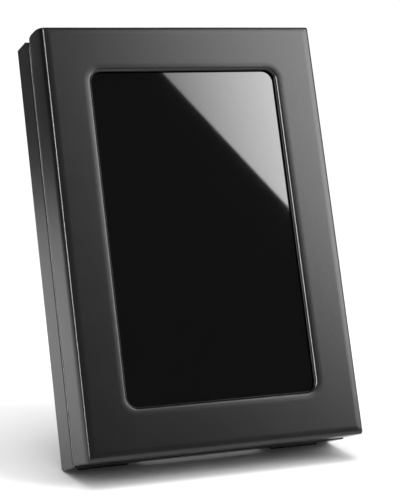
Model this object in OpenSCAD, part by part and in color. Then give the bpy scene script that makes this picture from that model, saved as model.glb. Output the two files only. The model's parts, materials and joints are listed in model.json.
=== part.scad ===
// Digital photo frame: a deep two-part housing that leans back on its lower rear
// edge and a fold-out leg. Millimetres, +Z up, screen towards -Y, standing on z = 0.
// Pieces are drawn upright in "panel" axes (back face y = 0, lower edge z = 0) and
// leaned() tilts them into place.

/* [Housing] */
// Width of the housing
face_w = 134; // [130:1:150]
// Height of the front bezel
face_h = 196; // [190:1:210]
// Depth of the front bezel, front face to seam
bezel_d = 21.7; // [20:0.1:26]
// Depth of the rear shell, seam to back face
shell_d = 18; // [16.5:0.1:20]
// How far the rear shell reaches below the bezel
shell_drop = 0.5; // [0:0.1:1]
// Wall thickness of both shells
wall = 2.4; // [2:0.1:3]
// Backward lean of the housing, in degrees
lean = 18.1; // [14:0.1:22]

/* [Screen] */
// Width of the window in the bezel
window_w = 91.6; // [88:0.1:94]
// Height of the window in the bezel
window_h = 152.6; // [148:0.1:156]
// Corner radius of the window
window_r = 5; // [3:0.1:8]
// Thickness of the cover glass
glass_t = 1.8; // [1:0.1:2.5]

/* [Stand] */
// Height of the leg's hinge above the lower edge, along the back
hinge_z = 140; // [132:1:146]
// Hinge pin radius
pin_r = 1.25; // [1:0.05:1.5]
// Half width of the leg at its foot
leg_half_foot = 30; // [26:1:32]
// Half width of the leg under the hinge
leg_half_top = 22; // [21:1:24]

/* [Controls] */
// Spacing of the buttons
button_pitch = 13; // [11:1:13]
// Button cap radius
button_r = 3.6; // [2.5:0.1:4]
// How far a button stands out of the back
button_out = 0.8; // [0.5:0.1:1.5]
// Slide switch travel
switch_travel = 2; // [1:0.5:2]

/* [Hidden] */
$fn = 64;
eps = 0.01;

// Depth stations, panel axes: the back face is y = 0 and depth grows towards -y.
front_y = -(bezel_d + shell_d);
seam_y = -shell_d;
front_wall = 2.5;
gasket_t = 0.3;
gasket_y = front_y + front_wall;
glass_y = gasket_y + gasket_t;
lcd_y = glass_y + glass_t;
lcd_t = 2.2;
light_y = lcd_y + lcd_t;
light_t = 3.2;
bracket_y = light_y + light_t;
bracket_t = 1;
back_wall = 2.2;

// Heights, panel axes.
top_z = shell_drop + face_h;
mid_z = shell_drop + face_h / 2;
cavity_top = top_z - 6.5;
cavity_x = face_w / 2 - wall;
cavity_z = shell_drop + wall;

// Edge radii. The seam is a broad finger groove along the top edge only.
ridge_r = 0.8;
chin_r = 2;
seam_r = 0.7;
groove_r = 4.2;
edge_r = 2.5;
back_r = 1.2;

// Feet: rubber bars set in the lower rear edge, cut flat by the shelf.
foot_r = edge_r + 0.7;
foot_h = edge_r + 0.4;
foot_core = edge_r - 0.8;
foot_x = 48;
foot_w = 24;

// Stand: the leg's own axes have the hinge at the origin and the foot towards -z.
hinge_y = -3.5;
leg_t = 4;
leg_y = -0.8;
leg_out = leg_y + leg_t;
pad_r = 2.3;
pad_y = 1.2;
pad_z = hinge_z - 3 - pad_r;
barrel_r = 3;
barrel_half = 19.6;
pin_gap = 0.05;
ear_x = 20;
ear_t = 1.5;
heel_len = 7.2;
heel_half_t = 1.2;
heel_half_w = 8;
recess_gap = 0.8;
recess_depth = 5.5;
hinge_depth = 9.5;
hinge_half = 27;
hinge_low = 130.5;
hinge_high = 149.5;
floor_t = 1.8;
plate_t = 1.2;

// The leg opens until its foot reaches the shelf.
hinge_rel_y = hinge_y + edge_r;
hinge_rel_z = hinge_z - edge_r;
hinge_world_y = hinge_rel_y * cos(lean) + hinge_rel_z * sin(lean);
hinge_world_z = foot_h - hinge_rel_y * sin(lean) + hinge_rel_z * cos(lean);
leg_reach = sqrt(pad_z * pad_z + pad_y * pad_y);
leg_splay = acos((hinge_world_z - pad_r) / leg_reach) - atan2(pad_y, pad_z);
leg_open = lean + leg_splay;

// The origin is the middle of the footprint.
rear_reach = hinge_world_y + pad_y * cos(leg_splay) + pad_z * sin(leg_splay) + pad_r;
chin_rel_y = front_y + chin_r + edge_r;
chin_rel_z = shell_drop + chin_r - edge_r;
front_reach = chin_rel_y * cos(lean) + chin_rel_z * sin(lean) - chin_r;
shift_y = -(rear_reach + front_reach) / 2;

// Electronics: the main board stands on posts in the rear shell.
board_t = 1.6;
board_back = -14.6;
board_y = board_back - board_t;
board_x0 = -38;
board_x1 = 62.3;
board_z0 = 68;
board_z1 = 154;
board_posts = [[-34, 72], [-34, 150], [57, 71.5], [57, 150]];
panel_posts = [[-57, 45], [57, 45], [-57, 152], [57, 152]];
case_posts = [[-58, 10.5], [58, 10.5], [-58, 185], [58, 185]];
bracket_holes = [[-13, 134], [13, 134], [-13, 146.2], [13, 146.2]];
key_x = -50;
key_back = -9.5;
key_t = 1.2;
key_holes = [[key_x, 90.4], [key_x, 157.6]];
button_z0 = 98;
button_count = 5;
speaker_x = 49.5;
speaker_z = 36;
keyhole_x = 36;
keyhole_z = 172;
keyhole_r = 4.2;
keyhole_slot_r = 2;
card_z = 88.25;
card_w = 24.4;
usb_z = 111.5;
jack_z = 125.5;
jack_y = -9.4;
jack_r = 2.85;
switch_z = 140.5;
switch_y = -12.6;

black = "#1b1b1c";
black_trim = "#0f0f10";
board_green = "#1f5a36";
steel = "#b8bbbf";

// ---- placing ----

// Panel axes to the standing position.
module leaned() {
    translate([0, shift_y, foot_h])
        rotate([-lean, 0, 0])
            translate([0, edge_r, -edge_r])
                children();
}

// Leg axes to the open position.
module opened() {
    leaned()
        translate([0, hinge_y, hinge_z])
            rotate([leg_open, 0, 0])
                children();
}

// Points along +y from panel position (x, y, z).
module along_y(x, y, z) {
    translate([x, y, z])
        rotate([-90, 0, 0])
            children();
}

// Points along +x from panel position (x, y, z).
module along_x(x, y, z) {
    translate([x, y, z])
        rotate([0, 90, 0])
            children();
}

// Box from its lowest and highest corners.
module span(low, high) {
    translate(low)
        cube(high - low);
}

// ---- shapes ----

// Rectangle from (x0, y0) to (x1, y1) with its own radius at each corner:
// r = [x0 y0, x1 y0, x1 y1, x0 y1].
module soft_rect(x0, y0, x1, y1, r) {
    corners = [[x0, y0, 1, 1], [x1, y0, -1, 1], [x1, y1, -1, -1], [x0, y1, 1, -1]];
    difference() {
        translate([x0, y0])
            square([x1 - x0, y1 - y0]);
        for (i = [0:3])
            translate([corners[i][0], corners[i][1]])
                scale_corner(corners[i][2], corners[i][3])
                    corner_cut(r[i]);
    }
}

// Mirrors a corner cut into its own corner.
module scale_corner(sx, sy) {
    mirror([sx < 0 ? 1 : 0, 0])
        mirror([0, sy < 0 ? 1 : 0])
            children();
}

// What rounding a corner at the origin takes away.
module corner_cut(r) {
    difference() {
        translate([-1, -1])
            square(r + 1);
        translate([r, r])
            circle(r);
    }
}

// Side profile drawn as (depth y, height z), extruded across the width w.
module side_extrude(w) {
    translate([-w / 2, 0, 0])
        rotate([90, 0, 90])
            linear_extrude(w)
                children();
}

// Block with a rounded side profile and a rounded plan, sharing its long edges.
module soft_block(w, y0, y1, z0, z1, side_r, plan_r) {
    intersection() {
        side_extrude(w)
            soft_rect(y0, z0, y1, z1, side_r);
        translate([0, 0, z0])
            linear_extrude(z1 - z0)
                soft_rect(-w / 2, y0, w / 2, y1, plan_r);
    }
}

// Rounded rectangle, w by h, centred on the window, from depth y0 to y1.
module window_plate(w, h, r, y0, y1) {
    translate([0, y1, mid_z])
        rotate([90, 0, 0])
            linear_extrude(y1 - y0)
                soft_rect(-w / 2, -h / 2, w / 2, h / 2, [r, r, r, r]);
}

// Hollow rectangular ring around the cavity, from depth y0 to y1.
module rim_ring(outset, inset, y0, y1) {
    difference() {
        span([-cavity_x - outset, y0, cavity_z - outset], [cavity_x + outset, y1, cavity_top + outset]);
        span([-cavity_x + inset, y0 - 1, cavity_z + inset], [cavity_x - inset, y1 + 1, cavity_top - inset]);
    }
}

// Round post at panel position p, from depth y0 to y1.
module post(p, r, y0, y1) {
    along_y(p[0], y0, p[1])
        cylinder(r = r, h = y1 - y0);
}

// Pan-head screw: the head stands on depth y and the shank goes towards -y.
module screw(p, y, head_r, head_t, shank_r, shank_len) {
    difference() {
        union() {
            post(p, head_r, y, y + head_t);
            post(p, shank_r, y - shank_len, y + eps);
        }
        cross_recess(p, y + head_t, head_r);
    }
}

// Cross recess in a screw head whose top is at depth y.
module cross_recess(p, y, head_r) {
    long = head_r * 0.62;
    thin = head_r * 0.14;
    span([p[0] - long, y - 0.7, p[1] - thin], [p[0] + long, y + 1, p[1] + thin]);
    span([p[0] - thin, y - 0.7, p[1] - long], [p[0] + thin, y + 1, p[1] + long]);
}

// ---- screen ----

module front_bezel() {
    color(black)
        leaned()
            difference() {
                union() {
                    bezel_pan();
                    for (p = panel_posts)
                        post(p, 3, front_y + 1, bracket_y);
                    for (p = case_posts)
                        post(p, 3.3, front_y + 1, seam_y - 3);
                }
                window_plate(window_w, window_h, window_r, front_y - 1, gasket_y + 1);
                for (p = panel_posts)
                    post(p, 1.05, bracket_y - 6, bracket_y + 1);
                for (p = case_posts)
                    post(p, 1.25, seam_y - 14, seam_y);
            }
}

// The bezel's outer pan without its window, hollow from the seam forwards.
module bezel_pan() {
    difference() {
        soft_block(face_w, front_y, seam_y, shell_drop, top_z,
            [chin_r, seam_r, groove_r, ridge_r], [ridge_r, ridge_r, seam_r, seam_r]);
        span([-cavity_x, gasket_y, cavity_z], [cavity_x, seam_y + 1, cavity_top]);
    }
}

module lens_gasket() {
    color(black_trim)
        leaned()
            difference() {
                window_plate(98, 159, 3, gasket_y, glass_y);
                window_plate(window_w + 1, window_h + 1, window_r, gasket_y - 1, glass_y + 1);
            }
}

module cover_glass() {
    color([0.05, 0.05, 0.06, 0.6])
        leaned()
            window_plate(99, 160, 3, glass_y, lcd_y);
}

module lcd_panel() {
    color("#101216")
        leaned()
            window_plate(98, 159, 0.5, lcd_y, light_y);
}

module backlight_unit() {
    color("#e8e8e4")
        leaned()
            window_plate(100, 163, 1, light_y, bracket_y);
}

module panel_bracket() {
    half = 51.4;
    color(steel)
        leaned()
            difference() {
                union() {
                    window_plate(2 * half, 163, 1, bracket_y, bracket_y + bracket_t);
                    for (side = [-1, 1])
                        bracket_flange(side * (half - 0.5));
                    for (p = panel_posts)
                        bracket_ear(p, half);
                }
                for (p = panel_posts)
                    post(p, 1.3, bracket_y - 1, bracket_y + bracket_t + 1);
                for (z = [60, 137])
                    post([0, z], 14, bracket_y - 1, bracket_y + bracket_t + 1);
            }
}

// Turned-up edge that holds the display stack sideways.
module bracket_flange(x) {
    span([x - 0.5, lcd_y + 0.3, mid_z - 78], [x + 0.5, bracket_y + bracket_t, mid_z + 78]);
}

// Ear of the bracket around a bezel post.
module bracket_ear(p, half) {
    side = sign(p[0]);
    post(p, 4, bracket_y, bracket_y + bracket_t);
    inner = side * (half - 2);
    span([min(inner, p[0]), bracket_y, p[1] - 4], [max(inner, p[0]), bracket_y + bracket_t, p[1] + 4]);
}

module panel_screws() {
    color(steel)
        leaned()
            for (p = panel_posts)
                screw(p, bracket_y + bracket_t, 2.2, 1.4, 1, 5.5);
}

// ---- electronics ----

module main_board() {
    color(board_green)
        leaned()
            difference() {
                span([board_x0, board_y, board_z0], [board_x1, board_back, board_z1]);
                for (p = board_posts)
                    post(p, 1.2, board_y - 1, board_back + 1);
            }
}

module media_processor() {
    color("#222326")
        leaned()
            span([-8, board_y - 1.4, 104], [8, board_y, 120]);
}

module memory_chips() {
    color("#222326")
        leaned()
            for (z = [88, 128])
                span([-9, board_y - 1.2, z], [9, board_y, z + 8]);
}

module filter_capacitors() {
    color("#2b3550")
        leaned()
            for (p = [[30, 120], [30, 132], [42, 132]])
                post(p, 3.2, board_y - 7, board_y);
}

module ribbon_connector() {
    color("#d9d2bd")
        leaned()
            span([-17, board_y - 2, 70], [17, board_y, 75]);
}

// The flex leaves the lower edge of the display, folds behind the bracket and
// rises to its connector.
module display_ribbon() {
    bend_z = mid_z - 83.5;
    run_y = bracket_y + bracket_t + 1.2;
    path = [
        [lcd_y + 1, mid_z - 79.5], [lcd_y + 1, bend_z], [run_y, bend_z],
        [run_y, 67], [board_y - 1, 67], [board_y - 1, 70]
    ];
    color("#c9862f")
        leaned()
            side_extrude(30)
                for (i = [0:len(path) - 2])
                    flat_run(path[i], path[i + 1], 0.3);
}

// Straight run of a flat strip of thickness t in the side profile.
module flat_run(a, b, t) {
    low = [min(a[0], b[0]), min(a[1], b[1])];
    high = [max(a[0], b[0]), max(a[1], b[1])];
    vertical = high[0] - low[0] < t;
    grow = vertical ? [t / 2, 0] : [t / 2, t / 2];
    translate(low - grow)
        square(high - low + 2 * grow);
}

module card_socket() {
    color(steel)
        leaned()
            difference() {
                span([34, board_back, card_z - 13.2], [62.5, board_back + 2.8, card_z + 13.2]);
                span([36, board_back + 0.3, card_z - card_w / 2], [64, board_back + 2.5, card_z + card_w / 2]);
            }
}

module usb_socket() {
    color(steel)
        leaned() {
            difference() {
                span([53, board_back, usb_z - 4], [62.5, board_back + 4, usb_z + 4]);
                span([54, board_back + 0.4, usb_z - 3.6], [64, board_back + 3.6, usb_z + 3.6]);
            }
            span([53.5, board_back + 1.4, usb_z - 2.6], [61.5, board_back + 2.6, usb_z + 2.6]);
        }
}

module power_jack() {
    color(black_trim)
        leaned() {
            difference() {
                span([49, board_back, jack_z - 4.5], [62.6, board_back + 9.4, jack_z + 4.5]);
                along_x(52, jack_y, jack_z)
                    cylinder(r = jack_r, h = 12);
            }
            along_x(51, jack_y, jack_z)
                cylinder(r = 0.8, h = 10);
        }
}

module board_screws() {
    color(steel)
        leaned()
            for (p = board_posts)
                mirrored_screw(p, board_y, 2, 1.2, 0.9, 6);
}

// Screw driven from the front: the head stands on depth y and faces -y.
module mirrored_screw(p, y, head_r, head_t, shank_r, shank_len) {
    translate([0, 2 * y, 0])
        mirror([0, 1, 0])
            screw(p, y, head_r, head_t, shank_r, shank_len);
}

module speaker_left() {
    color("#2a2a2c")
        leaned()
            speaker(-speaker_x);
}

module speaker_right() {
    color("#2a2a2c")
        leaned()
            speaker(speaker_x);
}

// Small oblong speaker with its basket on the back wall and its magnet inwards.
module speaker(x) {
    y = -back_wall;
    difference() {
        span([x - 10, y - 3.5, speaker_z - 16], [x + 10, y, speaker_z + 16]);
        for (z = [speaker_z - 6, speaker_z + 6])
            post([x, z], 8, y - 1.5, y + 1);
    }
    post([x, speaker_z], 7, y - 7, y - 3.5 + eps);
}

module key_board() {
    color(board_green)
        leaned()
            difference() {
                span([key_x - 5, key_back - key_t, 87], [key_x + 5, key_back, 161]);
                for (p = key_holes)
                    post(p, 1.1, key_back - key_t - 1, key_back + 1);
            }
}

module tact_switches() {
    color("#3a3a3c")
        leaned()
            for (i = [0:button_count - 1])
                tact_switch([key_x, button_z0 + i * button_pitch]);
}

// One dome switch with its plunger towards the back.
module tact_switch(p) {
    span([p[0] - 3, key_back, p[1] - 3], [p[0] + 3, key_back + 3.5, p[1] + 3]);
    post(p, 1.6, key_back + 3.5 - eps, key_back + 4.3);
}

module key_board_screws() {
    color(steel)
        leaned()
            for (p = key_holes)
                mirrored_screw(p, key_back - key_t, 1.9, 1.1, 0.8, 5);
}

// Round button, number i from the bottom of the row.
module round_button(i) {
    p = [key_x, button_z0 + i * button_pitch];
    color(black_trim)
        leaned() {
            post(p, button_r, -back_wall - 0.2, button_out);
            post(p, button_r + 1, -back_wall - 1.3, -back_wall - 0.2);
            post(p, 1.5, -back_wall - 2.3, -back_wall - 1.3);
        }
}

module menu_button() {
    round_button(4);
}

module back_button() {
    round_button(3);
}

module left_button() {
    round_button(2);
}

module right_button() {
    round_button(1);
}

module select_button() {
    round_button(0);
}

module power_switch_body() {
    color(steel)
        leaned()
            difference() {
                span([56, board_back, switch_z - 4.5], [62, board_back + 4, switch_z + 4.5]);
                switch_slot(60, 64);
            }
}

module power_switch_knob() {
    color(black_trim)
        leaned()
            span([60.3, switch_y - 0.8, switch_z - 2.5], [face_w / 2 - 0.4, switch_y + 0.8, switch_z + 0.5]);
}

// Way that the slide switch's knob moves in.
module switch_slot(x0, x1) {
    low_z = switch_z - 2.9;
    span([x0, switch_y - 1.1, low_z], [x1, switch_y + 1.1, low_z + 3.8 + switch_travel]);
}

// ---- rear shell ----

module rear_shell() {
    color(black)
        leaned()
            difference() {
                union() {
                    shell_tray();
                    rim_ring(-0.2, 1.8, seam_y - 2.5, seam_y + eps);
                    rim_ring(0.4, 1.8, seam_y, seam_y + 3);
                    shell_posts();
                }
                leg_recess(0);
                shell_bores();
                shell_ports();
                for (side = [-1, 1])
                    foot_groove(side * foot_x);
            }
}

// The rear shell's outer tray with the raised walls of the leg's recess inside.
module shell_tray() {
    difference() {
        soft_block(face_w, seam_y, 0, 0, top_z,
            [0.5, edge_r, back_r, groove_r], [ridge_r, ridge_r, back_r, back_r]);
        span([-cavity_x, seam_y - 1, cavity_z], [cavity_x, -back_wall, cavity_top]);
    }
    intersection() {
        leg_recess(floor_t);
        span([-cavity_x, seam_y, 1], [cavity_x, -1, cavity_top]);
    }
}

// Space that the closed leg and its hinge lie in, grown by g on every inner side.
module leg_recess(g) {
    foot_half = leg_half_foot + recess_gap + g;
    top_half = leg_half_top + recess_gap + g;
    leg_top = 135 + g;
    translate([0, 1, 0])
        rotate([90, 0, 0])
            linear_extrude(recess_depth + 1 + g)
                polygon([[-foot_half, -1], [foot_half, -1], [top_half, leg_top], [-top_half, leg_top]]);
    span([-hinge_half - g, -hinge_depth - g, hinge_low - g], [hinge_half + g, 1, hinge_high + g]);
}

module shell_posts() {
    inside = -1.5;
    for (p = board_posts)
        post(p, 3, board_back, inside);
    for (p = key_holes)
        post(p, 2.6, key_back, inside);
    for (p = case_posts)
        post(p, 4.2, seam_y - 2.8, inside);
    for (p = bracket_holes)
        post(p, 2.4, -hinge_depth - 4.4, -hinge_depth - 1);
}

module shell_bores() {
    for (p = board_posts)
        post(p, 0.95, board_back - 1, board_back + 7);
    for (p = key_holes)
        post(p, 0.85, key_back - 1, key_back + 5.5);
    for (p = case_posts) {
        post(p, 1.6, seam_y - 4, 0);
        post(p, 3, -10, 1);
    }
    for (p = bracket_holes)
        post(p, 0.95, -hinge_depth - 3.8, -hinge_depth + 1);
    for (i = [0:button_count - 1])
        post([key_x, button_z0 + i * button_pitch], button_r + 0.15, -back_wall - 1, 1);
    for (side = [-1, 1]) {
        keyhole(side * keyhole_x);
        grille(side * speaker_x);
    }
}

// Keyhole for a wall screw: the frame drops so that the screw rises up the slot.
module keyhole(x) {
    post([x, keyhole_z], keyhole_r, -back_wall - 1, 1);
    post([x, keyhole_z + 8], keyhole_slot_r, -back_wall - 1, 1);
    span([x - keyhole_slot_r, -back_wall - 1, keyhole_z], [x + keyhole_slot_r, 1, keyhole_z + 8]);
}

// Six sound slots over a speaker.
module grille(x) {
    for (i = [0:5])
        span([x - 7, -back_wall - 1, speaker_z - 10 + 3.6 * i], [x + 7, 1, speaker_z - 8.6 + 3.6 * i]);
}

// Openings for the connectors in the right-hand wall.
module shell_ports() {
    x0 = 62;
    x1 = face_w / 2 + 1;
    span([x0, board_back + 0.1, card_z - 12.7], [x1, board_back + 2.7, card_z + 12.7]);
    span([x0, board_back - 0.2, usb_z - 4.3], [x1, board_back + 4.2, usb_z + 4.3]);
    along_x(x0, jack_y, jack_z)
        cylinder(r = 4.3, h = x1 - x0);
    switch_slot(x0, x1);
}

// Groove that a rubber foot is bonded in.
module foot_groove(x) {
    translate([x, 0, 0])
        side_extrude(foot_w)
            foot_profile(foot_r + 1);
}

// Quarter ring around the lower rear edge, out to radius r.
module foot_profile(r) {
    translate([-edge_r, edge_r])
        difference() {
            circle(r);
            circle(foot_core);
            translate([-2 * r, -2 * r])
                square([2 * r, 4 * r]);
            translate([-2 * r, 0])
                square([4 * r, 2 * r]);
        }
}

// Foot bar: proud of the edge and cut flat where it stands.
module rubber_foot(x) {
    color("#141414")
        intersection() {
            leaned()
                translate([x, 0, 0])
                    side_extrude(foot_w)
                        foot_profile(foot_r);
            span([-face_w, -face_w, 0], [face_w, face_w, 20]);
        }
}

module rubber_foot_left() {
    rubber_foot(-foot_x);
}

module rubber_foot_right() {
    rubber_foot(foot_x);
}

module case_screws() {
    color(steel)
        leaned()
            for (p = case_posts)
                screw(p, -10, 2.7, 1.8, 1.2, 16);
}

// ---- stand ----

module hinge_bracket() {
    color(steel)
        leaned()
            difference() {
                union() {
                    span([-25, -hinge_depth, 131.5], [25, -hinge_depth + plate_t, 148.5]);
                    for (side = [-1, 1])
                        hinge_ear(side * (ear_x + ear_t / 2));
                }
                along_x(-30, hinge_y, hinge_z)
                    cylinder(r = pin_r, h = 60);
                for (p = bracket_holes)
                    post(p, 1.2, -hinge_depth - 1, -hinge_depth + plate_t + 1);
            }
}

// Upright ear with a round head around the pin.
module hinge_ear(x) {
    x0 = x - ear_t / 2;
    x1 = x + ear_t / 2;
    span([x0, -hinge_depth, hinge_z - 2.6], [x1, hinge_y, hinge_z + 2.6]);
    along_x(x0, hinge_y, hinge_z)
        cylinder(r = 2.6, h = ear_t);
}

module bracket_screws() {
    color(steel)
        leaned()
            for (p = bracket_holes)
                screw(p, -hinge_depth + plate_t, 1.8, 1.1, 0.9, 4.4);
}

module hinge_pin() {
    color(steel)
        leaned()
            along_x(-ear_x - ear_t - 0.4, hinge_y, hinge_z) {
                cylinder(r = pin_r, h = 2 * (ear_x + ear_t) + 0.8);
                translate([0, 0, 2 * (ear_x + ear_t) + 0.5])
                    cylinder(r = 2.1, h = 0.9);
            }
}

module friction_washers() {
    color(steel)
        leaned()
            for (x = [-ear_x + 0.05, ear_x - 0.35])
                along_x(x, hinge_y, hinge_z)
                    difference() {
                        cylinder(r = 2.6, h = 0.3);
                        translate([0, 0, -1])
                            cylinder(r = pin_r + 0.08, h = 3);
                    }
}

module stand_leg() {
    color(black)
        opened()
            difference() {
                union() {
                    leg_plate();
                    along_x(-barrel_half, 0, 0)
                        cylinder(r = barrel_r, h = 2 * barrel_half);
                    span([-heel_half_w, -heel_half_t, 0], [heel_half_w, heel_half_t, heel_len]);
                    span([-barrel_half, leg_y, -8], [barrel_half, barrel_r - 0.2, 0]);
                }
                along_x(-barrel_half - 1, 0, 0)
                    cylinder(r = pin_r + pin_gap, h = 2 * barrel_half + 2);
                along_x(-leg_half_foot, pad_y, -pad_z)
                    cylinder(r = pad_r, h = 2 * leg_half_foot);
                span([-leg_half_foot - 1, leg_y - 1, -pad_z - 10], [leg_half_foot + 1, leg_out + 1, -pad_z]);
                for (side = [-1, 1])
                    leg_panel(side);
            }
}

// Tapered plate of the leg, without its hinge.
module leg_plate() {
    top = -5.6;
    translate([0, leg_out, 0])
        rotate([90, 0, 0])
            linear_extrude(leg_t)
                polygon([
                    [-leg_half_foot, -pad_z], [leg_half_foot, -pad_z],
                    [leg_half_top, top], [-leg_half_top, top]
                ]);
}

// Shallow weight-saving pocket on the inner face, one on each side of a centre rib.
module leg_panel(side) {
    mirror([side < 0 ? 1 : 0, 0, 0])
        translate([0, leg_y + 2, 0])
            rotate([90, 0, 0])
                linear_extrude(3)
                    polygon([[2, -125], [24.5, -125], [17.5, -16], [2, -16]]);
}

module stand_foot_pad() {
    color("#141414")
        opened()
            along_x(-leg_half_foot + 1.5, pad_y, -pad_z)
                cylinder(r = pad_r, h = 2 * leg_half_foot - 3);
}

front_bezel();
lens_gasket();
cover_glass();
lcd_panel();
backlight_unit();
panel_bracket();
panel_screws();
main_board();
media_processor();
memory_chips();
filter_capacitors();
ribbon_connector();
display_ribbon();
card_socket();
usb_socket();
power_jack();
board_screws();
speaker_left();
speaker_right();
key_board();
tact_switches();
key_board_screws();
menu_button();
back_button();
left_button();
right_button();
select_button();
power_switch_body();
power_switch_knob();
rear_shell();
case_screws();
hinge_bracket();
bracket_screws();
hinge_pin();
friction_washers();
stand_leg();
stand_foot_pad();
rubber_foot_left();
rubber_foot_right();
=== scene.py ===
import math
import json

import bmesh
import bpy
from mathutils import Matrix, Vector

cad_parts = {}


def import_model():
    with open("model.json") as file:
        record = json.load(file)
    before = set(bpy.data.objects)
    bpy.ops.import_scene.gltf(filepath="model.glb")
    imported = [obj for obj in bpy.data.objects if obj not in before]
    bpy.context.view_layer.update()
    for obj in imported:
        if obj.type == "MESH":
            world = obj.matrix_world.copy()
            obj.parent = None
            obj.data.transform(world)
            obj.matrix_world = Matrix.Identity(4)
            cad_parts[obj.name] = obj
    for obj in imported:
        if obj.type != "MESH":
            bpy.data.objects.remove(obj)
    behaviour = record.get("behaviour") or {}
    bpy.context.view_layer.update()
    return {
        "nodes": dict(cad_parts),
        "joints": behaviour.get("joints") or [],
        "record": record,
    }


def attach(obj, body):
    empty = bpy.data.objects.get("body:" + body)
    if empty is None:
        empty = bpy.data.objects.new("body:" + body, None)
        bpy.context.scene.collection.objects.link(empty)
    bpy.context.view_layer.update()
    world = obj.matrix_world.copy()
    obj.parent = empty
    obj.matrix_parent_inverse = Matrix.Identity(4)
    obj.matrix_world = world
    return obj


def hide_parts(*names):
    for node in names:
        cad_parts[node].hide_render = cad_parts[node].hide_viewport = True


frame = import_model()

MM = 0.001
TAU = 2 * math.pi

# ---- the housing's own axes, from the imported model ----

push = next(j["axis"] for j in frame["joints"] if j["name"] == "menu_press")
LEAN = math.atan2(push[2], -push[1])
TILT = Matrix.Rotation(-LEAN, 4, "X")


def tilted_box(node):
    """Lowest and highest corner of a CAD node along the housing's axes, in metres."""
    spots = [TILT.inverted() @ v.co for v in frame["nodes"][node].data.vertices]
    low = Vector(min(p[i] for p in spots) for i in range(3))
    high = Vector(max(p[i] for p in spots) for i in range(3))
    return low, high


shell_low, shell_high = tilted_box("rear_shell")
ORIGIN = Vector((0, shell_high.y, shell_low.z))
PANEL = TILT @ Matrix.Translation(ORIGIN) @ Matrix.Scale(MM, 4)


def panel_box(node):
    """A CAD node's box in housing axes and millimetres: back face y = 0, lower edge z = 0."""
    low, high = tilted_box(node)
    return (low - ORIGIN) / MM, (high - ORIGIN) / MM


# ---- mesh helpers ----

CORNER_STEPS = 8  # edges in a quarter circle of rounded_loop
SIDE_STEPS = 4  # edges in each of its straight sides
BEND_STEPS = 8  # points in each arc of a wall profile


def new_piece(name, bm, matrix, body, smooth_deg):
    """Makes an object of a bmesh, moved by matrix, and lets it ride on a body."""
    bmesh.ops.recalc_face_normals(bm, faces=bm.faces)
    mesh = bpy.data.meshes.new(name)
    bm.to_mesh(mesh)
    bm.free()
    mesh.transform(matrix)
    for p in mesh.polygons:
        p.use_smooth = True
    mesh.set_sharp_from_angle(angle=math.radians(smooth_deg))
    obj = bpy.data.objects.new(name, mesh)
    bpy.context.scene.collection.objects.link(obj)
    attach(obj, body)
    return obj


def skin(bm, loops, closed):
    """Faces between neighbouring loops of vertices. closed joins the last loop to the first."""
    pairs = list(zip(loops, loops[1:]))
    if closed:
        pairs.append((loops[-1], loops[0]))
    for a, b in pairs:
        for i in range(len(a)):
            j = (i + 1) % len(a)
            bm.faces.new((a[i], a[j], b[j], b[i]))


def add_rings(bm, rings, closed):
    """Skins a list of equal-length point loops. An open skin gets a lid at each end."""
    loops = [[bm.verts.new(p) for p in ring] for ring in rings]
    skin(bm, loops, closed)
    if not closed:
        bm.faces.new(loops[0])
        bm.faces.new(loops[-1])


def rounded_loop(x0, x1, z0, z1, r, y):
    """Rounded rectangle at depth y with the same number of points whatever its size."""
    centres = [(x1 - r, z1 - r, 0), (x0 + r, z1 - r, 1), (x0 + r, z0 + r, 2), (x1 - r, z0 + r, 3)]
    corners = []
    for cx, cz, quarter in centres:
        for i in range(CORNER_STEPS + 1):
            a = (quarter + i / CORNER_STEPS) * TAU / 4
            corners.append((cx + r * math.cos(a), cz + r * math.sin(a)))
    points = []
    n = CORNER_STEPS + 1
    for k in range(4):
        points += corners[k * n:(k + 1) * n]
        a = corners[(k + 1) * n - 1]
        b = corners[((k + 1) * n) % len(corners)]
        for i in range(1, SIDE_STEPS):
            t = i / SIDE_STEPS
            points.append((a[0] + (b[0] - a[0]) * t, a[1] + (b[1] - a[1]) * t))
    return [(x, y, z) for x, z in points]


def interpolate(table, y):
    """Value at y of a polyline given as (y, value) with y rising."""
    if y <= table[0][0]:
        return table[0][1]
    for (ya, va), (yb, vb) in zip(table, table[1:]):
        if y <= yb:
            return va + (vb - va) * (y - ya) / (yb - ya)
    return table[-1][1]


def arc_walk(start, arcs):
    """Points (depth, inset) along arcs in turn, from (0, 0). An arc is (degrees turned to, radius)."""
    points = [(0.0, 0.0)]
    for end, radius in arcs:
        depth, inset = points[-1]
        a = math.radians(start)
        for i in range(1, BEND_STEPS + 1):
            b = math.radians(start + (end - start) * i / BEND_STEPS)
            points.append((depth + radius * abs(math.sin(b) - math.sin(a)),
                           inset + radius * (math.cos(a) - math.cos(b))))
        start = end
    return points


def wall_profile(front, seam, arcs, rear):
    """Inset of a wall against depth, as (depth, inset) pairs.

    arcs run from the front face, at 90 degrees, to the outer wall, at 0. rear arcs run from the wall,
    at 0 degrees, to the seam, where 90 faces backwards.
    """
    near, far = arc_walk(90, arcs), arc_walk(0, rear)
    table = [(front + depth, inset - near[-1][1]) for depth, inset in near]
    table += [(seam - far[-1][0] + depth, inset) for depth, inset in far]
    return sorted(table)


def turned(bm, profile, centre, segments=40):
    """Solid of revolution about a line along y. profile is (radius, y).

    A profile with ends at radius 0 closes there, any other is joined end to start.
    """
    cx, cz = centre
    rings, caps = [], []
    for r, y in profile:
        if r == 0:
            caps.append((len(rings), bm.verts.new((cx, y, cz))))
            continue
        rings.append([
            bm.verts.new((cx + r * math.cos(TAU * i / segments), y, cz + r * math.sin(TAU * i / segments)))
            for i in range(segments)
        ])
    skin(bm, rings, closed=not caps)
    for place, tip in caps:
        ring = rings[0] if place == 0 else rings[-1]
        for i in range(segments):
            bm.faces.new((ring[i], ring[(i + 1) % segments], tip))


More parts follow.
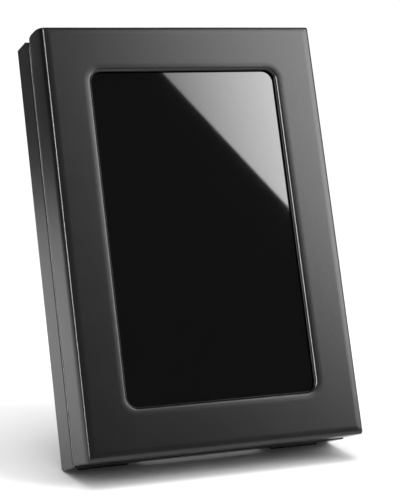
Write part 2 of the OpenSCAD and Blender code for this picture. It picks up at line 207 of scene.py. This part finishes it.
def softened(node, body, width_mm, name):
    """A copy of a CAD node with its hard edges rounded, standing for that node."""
    weld_m, flat_deg, hard_deg = 2e-6, 0.4, 28
    bm = bmesh.new()
    bm.from_mesh(frame["nodes"][node].data)
    bmesh.ops.remove_doubles(bm, verts=bm.verts, dist=weld_m)
    bmesh.ops.dissolve_limit(
        bm, angle_limit=math.radians(flat_deg), use_dissolve_boundaries=False,
        verts=bm.verts, edges=bm.edges, delimit={"NORMAL"},
    )
    hard = [e for e in bm.edges
            if len(e.link_faces) == 2 and e.calc_face_angle(0) > math.radians(hard_deg)]
    bmesh.ops.bevel(
        bm, geom=hard, offset=width_mm * MM, offset_type="OFFSET", segments=2,
        profile=0.5, affect="EDGES", clamp_overlap=True,
    )
    bmesh.ops.triangulate(bm, faces=[f for f in bm.faces if len(f.verts) > 4])
    obj = new_piece(name, bm, Matrix.Identity(4), body, smooth_deg=50)
    flats = obj.modifiers.new("flats", "WEIGHTED_NORMAL")
    flats.keep_sharp = True
    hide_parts(node)
    return obj


# ---- materials ----


class Nodes:
    """Short calls for building the node tree of a material or world."""

    def __init__(self, owner):
        owner.use_nodes = True
        self.owner = owner
        self.tree = owner.node_tree

    def add(self, kind, inputs=None, **props):
        node = self.tree.nodes.new(kind)
        for key, value in props.items():
            setattr(node, key, value)
        for key, value in (inputs or {}).items():
            if isinstance(value, bpy.types.NodeSocket):
                self.tree.links.new(value, node.inputs[key])
            else:
                node.inputs[key].default_value = value
        return node

    def ramp(self, fac, low, high, out_low, out_high, **props):
        return self.add(
            "ShaderNodeMapRange",
            {"Value": fac, "From Min": low, "From Max": high, "To Min": out_low, "To Max": out_high},
            **props,
        ).outputs["Result"]


class Surface(Nodes):
    """A material around one Principled shader."""

    def __init__(self, name):
        super().__init__(bpy.data.materials.new(name))
        self.shader = self.tree.nodes["Principled BSDF"]
        self.where = self.add("ShaderNodeTexCoord").outputs["Object"]

    def noise(self, per_m, detail, rough=0.5, stretch=None):
        where = self.where
        if stretch:
            where = self.add("ShaderNodeMapping", {"Vector": where, "Scale": stretch}).outputs["Vector"]
        return self.add(
            "ShaderNodeTexNoise",
            {"Vector": where, "Scale": per_m, "Detail": detail, "Roughness": rough},
        ).outputs["Fac"]

    def cells(self, per_m):
        return self.add(
            "ShaderNodeTexVoronoi", {"Vector": self.where, "Scale": per_m}, feature="F1"
        ).outputs["Distance"]

    def blend(self, fac, a, b):
        mix = self.add("ShaderNodeMix", data_type="RGBA")
        self.tree.links.new(fac, mix.inputs["Factor"])
        for socket, value in ((mix.inputs[6], a), (mix.inputs[7], b)):
            if isinstance(value, bpy.types.NodeSocket):
                self.tree.links.new(value, socket)
            else:
                socket.default_value = (*value, 1)
        return mix.outputs[2]

    def edge(self):
        """1 on outer edges, 0 on flat faces."""
        point = self.add("ShaderNodeNewGeometry").outputs["Pointiness"]
        return self.ramp(point, 0.52, 0.6, 0, 1)

    def bump(self, height, distance, strength, normal=None):
        inputs = {"Height": height, "Distance": distance, "Strength": strength}
        if normal is not None:
            inputs["Normal"] = normal
        return self.add("ShaderNodeBump", inputs).outputs["Normal"]

    def link(self, output, name):
        self.tree.links.new(output, self.shader.inputs[name])

    def fix(self, **values):
        for key, value in values.items():
            self.shader.inputs[key.replace("_", " ")].default_value = value


def moulded(name, colour, rough, grain_per_m, grain_depth, wear=0.35):
    """Moulded plastic: fine spark-eroded grain, faint cloudy colour, lighter rubbed edges."""
    n = Surface(name)
    cloud = n.ramp(n.noise(35, detail=4), 0.35, 0.65, 0, 1)
    body = n.blend(cloud, tuple(c * 0.82 for c in colour), tuple(c * 1.2 for c in colour))
    rubbed = n.add("ShaderNodeMath", {0: n.edge(), 1: wear}, operation="MULTIPLY").outputs[0]
    n.link(n.blend(rubbed, body, tuple(min(1, c * 1.8 + 0.004) for c in colour)), "Base Color")
    uneven = n.noise(120, detail=2)
    n.link(n.ramp(uneven, 0.3, 0.7, rough - 0.006, rough + 0.006), "Roughness")
    ripple = n.bump(n.noise(420, detail=2), 0.00005, 0.4)
    fine = n.bump(n.noise(grain_per_m, detail=4, rough=0.6), grain_depth, 0.25, ripple)
    n.link(n.bump(n.cells(grain_per_m * 0.8), grain_depth, 0.12, fine), "Normal")
    n.fix(IOR=1.47)
    return n.owner


def rubbery(name, colour, rough):
    """Matt rubber or foam with a little dust."""
    n = Surface(name)
    dust = n.noise(180, detail=5, rough=0.65)
    n.link(n.blend(n.ramp(dust, 0.4, 0.75, 0, 1), colour, tuple(c * 2.1 for c in colour)), "Base Color")
    n.link(n.ramp(dust, 0.3, 0.7, rough, rough + 0.12), "Roughness")
    n.link(n.bump(n.noise(5200, detail=3), 0.00005, 0.6), "Normal")
    n.fix(Specular_IOR_Level=0.35, Sheen_Weight=0.12, Sheen_Roughness=0.5)
    return n.owner


def plated(name, colour, rough, stretch):
    """Plated or rolled metal: fine streaks along one direction and soft stains."""
    n = Surface(name)
    streak = n.noise(900, detail=3, rough=0.6, stretch=stretch)
    stain = n.noise(120, detail=4)
    tone = n.blend(n.ramp(stain, 0.35, 0.7, 0, 1), colour, tuple(c * 0.78 for c in colour))
    n.link(tone, "Base Color")
    n.link(n.ramp(streak, 0.3, 0.7, rough - 0.07, rough + 0.1), "Roughness")
    n.link(n.bump(streak, 0.00003, 0.4), "Normal")
    n.fix(Metallic=1.0)
    return n.owner


def glossy(name, colour, rough, smear, ior=1.5):
    """Smooth hard surface with a trace of haze."""
    n = Surface(name)
    haze = n.noise(22, detail=5, rough=0.6)
    n.link(n.blend(n.ramp(haze, 0.4, 0.7, 0, 1), colour, tuple(c * 1.25 for c in colour)), "Base Color")
    n.link(n.ramp(haze, 0.45, 0.75, rough, rough + smear), "Roughness")
    n.link(n.bump(n.noise(60, detail=2), 0.000002, 0.2), "Normal")
    n.fix(IOR=ior)
    return n.owner


def circuit(name):
    """Solder mask with copper tracks just showing under it."""
    n = Surface(name)
    tracks = n.add(
        "ShaderNodeTexBrick",
        {"Vector": n.where, "Scale": 260.0, "Mortar Size": 0.03, "Brick Width": 0.9, "Row Height": 0.3,
         "Color1": (0, 0, 0, 1), "Color2": (0, 0, 0, 1), "Mortar": (1, 1, 1, 1)},
    ).outputs["Color"]
    mask = n.blend(n.noise(60, detail=3), (0.012, 0.09, 0.035), (0.02, 0.13, 0.05))
    n.link(n.blend(tracks, mask, (0.05, 0.22, 0.08)), "Base Color")
    n.link(n.ramp(n.noise(500, detail=3), 0.3, 0.7, 0.28, 0.4), "Roughness")
    n.link(n.bump(tracks, 0.00003, 0.5), "Normal")
    n.fix(Coat_Weight=0.3, Coat_Roughness=0.15)
    return n.owner


MATERIALS = {
    "housing": moulded("housing", (0.004, 0.004, 0.0042), 0.28, 3200, 0.00002),
    "trim": moulded("trim", (0.016, 0.016, 0.017), 0.34, 5200, 0.00001, wear=0.2),
    "foam": rubbery("foam", (0.012, 0.012, 0.012), 0.85),
    "glass": glossy("glass", (0.0012, 0.0012, 0.0013), 0.02, 0.01, 1.8),
    "display": glossy("display", (0.01, 0.011, 0.014), 0.25, 0.05),
    "light_guide": glossy("light_guide", (0.75, 0.75, 0.72), 0.3, 0.05),
    "sheet_aluminium": plated("sheet_aluminium", (0.72, 0.73, 0.74), 0.32, (1, 1, 0.06)),
    "steel": plated("steel", (0.55, 0.56, 0.57), 0.3, (0.08, 1, 1)),
    "board": circuit("board"),
    "chip": moulded("chip", (0.02, 0.02, 0.022), 0.55, 4200, 0.00003, wear=0.1),
    "connector": moulded("connector", (0.68, 0.62, 0.5), 0.45, 3500, 0.00001, wear=0.1),
    "flex": glossy("flex", (0.55, 0.26, 0.05), 0.28, 0.06),
    "rubber": rubbery("rubber", (0.013, 0.013, 0.013), 0.62),
}
SLOT_OF = {s["node"]: s["material_slot"] for s in frame["record"]["subparts"]}


def finish_with(obj, slot):
    obj.data.materials.clear()
    obj.data.materials.append(MATERIALS[slot])


# ---- front bezel ----

pan_low, pan_high = panel_box("front_bezel")
glass_low, glass_high = panel_box("cover_glass")
FRONT, SEAM = pan_low.y, pan_high.y
HALF, Z0, Z1 = pan_high.x, pan_low.z, pan_high.z
MID_Z = (Z0 + Z1) / 2
CORNER_R = 1.0
TOP_CROWN = 1.2  # how far the top wall rises above the CAD one at its highest
FLAT_STEP = 0.3  # between the end of the curved edge and the next loop on the flat front
WALL, TOP_WALL = 2.4, 6.5  # the top is thicker, for its large round at the rear
INSIDE_R = 0.6

# half width, half height and corner radius of the window, with the rolled lip around it
WINDOW_X, WINDOW_Z, WINDOW_R = 45.8, 76.3, 5.0
LIP_W, LIP_D = 4.4, 1.75
UNDERCUT = 1.2  # the opening widens behind the lip
GLASS_GAP = 0.3

# arcs of each wall, as (degrees turned to, radius): front edge, then rear edge
SIDE_ARCS = [(82, 20), (18, 1.1), (0, 11)], [(22, 8), (90, 0.4)]
TOP_ARCS = [(80, 16), (20, 0.8), (0, 34)], [(90, 5)]
BOTTOM_ARCS = [(82, 20), (0, 1.9)], [(90, 0.7)]
LIP_ARCS = [(84, 26), (0, 1.5)], []

# screw posts: distance from the middle, heights, radius and bore
PANEL_POSTS = 57, (45, 152), 3.0, 1.05
CASE_POSTS = 58, (10.5, 185), 3.3, 1.25
POST_ROOT = 1  # they start this deep inside the front wall
POST_EDGE = 0.3


def window_loop(out, y):
    """The window's outline grown by out, at depth y."""
    return rounded_loop(-WINDOW_X - out, WINDOW_X + out, MID_Z - WINDOW_Z - out, MID_Z + WINDOW_Z + out,
                        WINDOW_R + out, y)


def bezel_rings():
    """Loops from the seam over the outside to the front, in through the window and back inside."""
    walls = [wall_profile(FRONT, SEAM, *arcs) for arcs in (SIDE_ARCS, TOP_ARCS, BOTTOM_ARCS)]

    def outline(y, extra=0.0):
        side, top, bottom = (interpolate(wall, y) + extra for wall in walls)
        return rounded_loop(-HALF + side, HALF - side, Z0 + bottom, Z1 + TOP_CROWN - top, CORNER_R, y)

    stations = {round(y, 3) for wall in walls for y, _ in wall}
    rings = [outline(y) for y in sorted(stations, reverse=True)]
    rings.append(outline(FRONT, FLAT_STEP))
    rings.append(window_loop(LIP_W, FRONT))
    rings += [window_loop(out, y) for y, out in wall_profile(FRONT, FRONT + LIP_D, *LIP_ARCS)]
    inner = glass_low.y - GLASS_GAP
    rings += [window_loop(UNDERCUT, y) for y in (FRONT + LIP_D + 0.05, inner)]
    deep = HALF - WALL
    rings += [rounded_loop(-deep, deep, Z0 + WALL, Z1 - TOP_WALL, INSIDE_R, y) for y in (inner, SEAM)]
    return rings


def post(bm, x, z, r, bore, y0, y1):
    """Hollow screw post standing on the inside of the bezel's front wall."""
    edge = POST_EDGE
    profile = [(r, y0), (r, y1 - edge), (r - edge, y1), (bore + edge, y1), (bore, y1 - edge),
               (bore, y0 + 2), (bore, y0)]
    turned(bm, profile, (x, z), segments=24)


def bezel():
    bm = bmesh.new()
    add_rings(bm, bezel_rings(), closed=True)
    bracket_back = panel_box("panel_bracket")[1].y
    for (half, heights, r, bore), end in ((PANEL_POSTS, bracket_back - 1), (CASE_POSTS, SEAM - 3)):
        for z in heights:
            for x in (-half, half):
                post(bm, x, z, r, bore, FRONT + POST_ROOT, end)
    obj = new_piece("bezel_moulding", bm, PANEL, "housing", smooth_deg=40)
    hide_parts("front_bezel")
    finish_with(obj, "housing")


bezel()

# ---- cover glass ----


def cover_glass():
    """Flat pane with a small bevel all round."""
    bevel, corner_r = 0.3, 3
    half_x, half_z = glass_high.x, (glass_high.z - glass_low.z) / 2
    front, back = glass_low.y, glass_high.y
    rings = []
    for inset, y in [(bevel, back), (0, back - bevel), (0, front + bevel), (bevel, front)]:
        x, z = half_x - inset, half_z - inset
        rings.append(rounded_loop(-x, x, MID_Z - z, MID_Z + z, corner_r - inset, y))
    bm = bmesh.new()
    add_rings(bm, rings, closed=False)
    obj = new_piece("glass_pane", bm, PANEL, "housing", smooth_deg=20)
    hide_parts("cover_glass")
    finish_with(obj, "glass")


cover_glass()

# ---- rounded copies of CAD nodes ----

# CAD node: body it rides on, width of its rounded edges in mm, name of the copy
SOFT = {
    "rear_shell": ("housing", 0.25, "shell_moulding"),
    "case_screws": ("housing", 0.12, "case_screw_set"),
    "hinge_bracket": ("housing", 0.15, "bracket_pressing"),
    "bracket_screws": ("housing", 0.1, "bracket_screw_set"),
    "card_socket": ("housing", 0.06, "card_socket_shell"),
    "usb_socket": ("housing", 0.06, "usb_socket_shell"),
    "power_jack": ("housing", 0.15, "power_jack_moulding"),
    "power_switch_body": ("housing", 0.1, "power_switch_can"),
    "power_switch_knob": ("power_knob", 0.15, "power_switch_cap"),
    "rubber_foot_left": ("housing", 0.2, "foot_bar_left"),
    "rubber_foot_right": ("housing", 0.2, "foot_bar_right"),
    "stand_leg": ("stand", 0.4, "leg_moulding"),
    "stand_foot_pad": ("stand", 0.3, "leg_foot_bar"),
}
for node, (body, width, name) in SOFT.items():
    piece = softened(node, body, width, name)
    finish_with(piece, SLOT_OF[node])

# ---- button caps ----

BUTTONS = {"menu_button": "menu_key", "back_button": "back_key", "left_button": "left_key",
           "right_button": "right_key", "select_button": "select_key"}


def button_cap(node, body):
    """Dished round cap with a flange behind the wall and a stem towards its switch."""
    low, high = panel_box(node)
    flange = (high.x - low.x) / 2
    cap = flange - 1
    stem, chamfer, bevel = 1.5, 0.3, 0.2
    inner, outer = low.y + 1, low.y + 2.1  # the flange's two faces
    edge, dish = 0.5, 0.25  # radius of the cap's rim and depth of its hollow
    top = high.y
    profile = [(0, low.y), (stem - chamfer, low.y), (stem, low.y + chamfer), (stem, inner),
               (flange - bevel, inner), (flange, inner + bevel), (flange, outer - bevel),
               (flange - bevel, outer), (cap, outer), (cap, top - edge)]
    for i in range(1, 7):
        a = TAU / 4 * i / 6
        profile.append((cap - edge + edge * math.cos(a), top - edge + edge * math.sin(a)))
    for k in (0.8, 0.6, 0.4, 0.2):
        profile.append(((cap - edge) * k, top - dish * (1 - k * k)))
    profile.append((0, top - dish))
    bm = bmesh.new()
    turned(bm, profile, ((low.x + high.x) / 2, (low.z + high.z) / 2))
    obj = new_piece(node + "_cap", bm, PANEL, body, smooth_deg=40)
    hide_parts(node)
    finish_with(obj, SLOT_OF[node])


for node, body in BUTTONS.items():
    button_cap(node, body)

# ---- CAD nodes that nothing stands for ----

for node, obj in frame["nodes"].items():
    if not obj.hide_render:
        for slot in obj.material_slots:
            slot.material = MATERIALS[SLOT_OF[node]]

# ---- stage, lights, camera ----


class Stage(Nodes):
    """Shaders of a stage object or the world, from an empty tree."""

    def __init__(self, owner, output="ShaderNodeOutputMaterial"):
        super().__init__(owner)
        self.tree.nodes.clear()
        self.output = self.add(output)

    def show(self, shader):
        self.tree.links.new(shader, self.output.inputs["Surface"])

    def mix(self, fac, a, b):
        return self.add("ShaderNodeMixShader", {0: fac, 1: a, 2: b}).outputs[0]


def stage_object(name, bm):
    """An object of the studio, not of the part, and the shaders of its material."""
    mesh = bpy.data.meshes.new(name)
    bm.to_mesh(mesh)
    bm.free()
    mesh.materials.append(bpy.data.materials.new(name))
    obj = bpy.data.objects.new(name, mesh)
    bpy.context.scene.collection.objects.link(obj)
    return obj, Stage(mesh.materials[0])


FLOOR_R = 1.6
FLOOR_TONE = (0.86, 0.86, 0.86, 1)
SEEN_FADE = 0.3, 0.85  # metres from the middle over which the floor fades in the picture
LIT_FADE = 0.8, 1.6  # the same for light that bounces off it


def floor():
    """Pale floor that fades out at its rim, so that no horizon shows."""
    bm = bmesh.new()
    bmesh.ops.create_circle(bm, cap_ends=True, segments=96, radius=FLOOR_R)
    n = stage_object("floor", bm)[1]
    spot = n.add("ShaderNodeTexCoord").outputs["Object"]
    reach = n.add("ShaderNodeVectorMath", {0: spot}, operation="LENGTH").outputs["Value"]
    lit = n.ramp(reach, *LIT_FADE, 0, 1, interpolation_type="SMOOTHSTEP")
    seen = n.ramp(reach, *SEEN_FADE, 0, 1, interpolation_type="SMOOTHSTEP")
    path = n.add("ShaderNodeLightPath")
    fade = n.add("ShaderNodeMix", {"Factor": path.outputs["Is Camera Ray"], "A": lit, "B": seen})
    diffuse = n.add("ShaderNodeBsdfDiffuse", {"Color": FLOOR_TONE})
    clear = n.add("ShaderNodeBsdfTransparent")
    n.show(n.mix(fade.outputs[0], diffuse.outputs[0], clear.outputs[0]))


BACKDROP = 1.3  # strength of the world for the camera
FILL = 0.55  # for matt surfaces
MIRRORED = 0.05  # in reflections


def world():
    """White to the camera, a soft fill to matt surfaces and nearly black in reflections."""
    studio = bpy.data.worlds.new("studio")
    bpy.context.scene.world = studio
    n = Stage(studio, "ShaderNodeOutputWorld")
    path = n.add("ShaderNodeLightPath")
    white = n.add("ShaderNodeBackground", {"Strength": BACKDROP})
    fill = n.ramp(path.outputs["Is Diffuse Ray"], 0, 1, MIRRORED, FILL)
    dim = n.add("ShaderNodeBackground", {"Color": (1, 1, 1, 1), "Strength": fill})
    n.show(n.mix(path.outputs["Is Camera Ray"], dim.outputs[0], white.outputs[0]))


def softbox(name, corners, origin, facing, strength, lights_matt=True):
    """Glowing panel that looks at the part. facing is the direction it backs away in.

    corners are (right, up) in metres from origin, seen from behind the panel. strength is a number, or
    (x0, x1, dim, bright) for a glow that grows to the right. Without lights_matt the panel shows in
    reflections only.
    """
    facing = Vector(facing).normalized()
    right = Vector((0, 0, 1)).cross(facing).normalized()
    up = facing.cross(right)
    bm = bmesh.new()
    bm.faces.new([bm.verts.new((a, b, 0)) for a, b in corners])
    obj, n = stage_object(name, bm)
    obj.matrix_world = Matrix.Translation(Vector(origin)) @ Matrix(
        [(right[i], up[i], -facing[i], 0) for i in range(3)] + [(0, 0, 0, 1)]
    )
    obj.visible_camera = False
    obj.visible_diffuse = lights_matt
    if isinstance(strength, tuple):
        spot = n.add("ShaderNodeTexCoord").outputs["Object"]
        across = n.add("ShaderNodeSeparateXYZ", {0: spot}).outputs["X"]
        strength = n.ramp(across, *strength)
    n.show(n.add("ShaderNodeEmission", {"Strength": strength}).outputs[0])


def overhead_light():
    data = bpy.data.lights.new("overhead", "AREA")
    data.shape = "SQUARE"
    data.size = 1.4
    data.energy = 24
    obj = bpy.data.objects.new("overhead", data)
    obj.location = (0.1, -0.1, 1.6)
    obj.rotation_mode = "QUATERNION"
    obj.rotation_quaternion = (-obj.location).to_track_quat("-Z", "Y")
    obj.visible_glossy = False
    bpy.context.scene.collection.objects.link(obj)


AZIMUTH, ELEVATION = math.radians(-23.0), math.radians(6.57)
DISTANCE = 0.7754
EYE_MIDDLE = Vector((0, 0, 0.095))
EYE_RIGHT, EYE_UP = 0.0104, 0.0134
LENS_MM, SENSOR_MM = 149.1, 36
SHIFT_X, SHIFT_Y = -0.0168, -0.075


def camera():
    """Eye level a little above the frame's middle, from its left."""
    away = Vector((math.sin(AZIMUTH) * math.cos(ELEVATION), -math.cos(AZIMUTH) * math.cos(ELEVATION),
                   math.sin(ELEVATION)))
    right = Vector((math.cos(AZIMUTH), math.sin(AZIMUTH), 0))
    up = away.cross(right)
    data = bpy.data.cameras.new("camera")
    data.sensor_fit = "HORIZONTAL"
    data.sensor_width = SENSOR_MM
    data.lens = LENS_MM
    data.shift_x, data.shift_y = SHIFT_X, SHIFT_Y
    data.clip_start, data.clip_end = 0.01, 50
    obj = bpy.data.objects.new("camera", data)
    obj.location = EYE_MIDDLE + away * DISTANCE + right * EYE_RIGHT + up * EYE_UP
    obj.rotation_mode = "QUATERNION"
    obj.rotation_quaternion = (-away).to_track_quat("-Z", "Y")
    bpy.context.scene.collection.objects.link(obj)
    bpy.context.scene.camera = obj


floor()
world()
softbox(
    "key_softbox",
    [(-0.1564, 0.47), (0.2386, -0.27), (0.42, -0.3), (0.52, -0.3), (0.52, 0.25), (0.2, 0.47)],
    origin=(0.430, -0.909, 0.5915), facing=(0.3911, -0.8071, 0.4424), strength=(-0.05, 0.2, 0.3, 10.5),
)
softbox(
    "side_softbox",
    [(-0.11, -0.25), (0.11, -0.25), (0.11, 0.75), (-0.11, 0.75)],
    origin=(-0.85, -0.78, 0.55), facing=(-0.72, -0.63, 0.29), strength=51, lights_matt=False,
)
softbox(
    "backdrop_glow",
    [(-0.5, -0.3), (0.13, -0.3), (0.13, 0.5), (-0.5, 0.5)],
    origin=(0, 1.3, 0.3), facing=(0, 1, 0), strength=4.5, lights_matt=False,
)
overhead_light()
camera()
bpy.context.scene.view_settings.view_transform = "Standard"
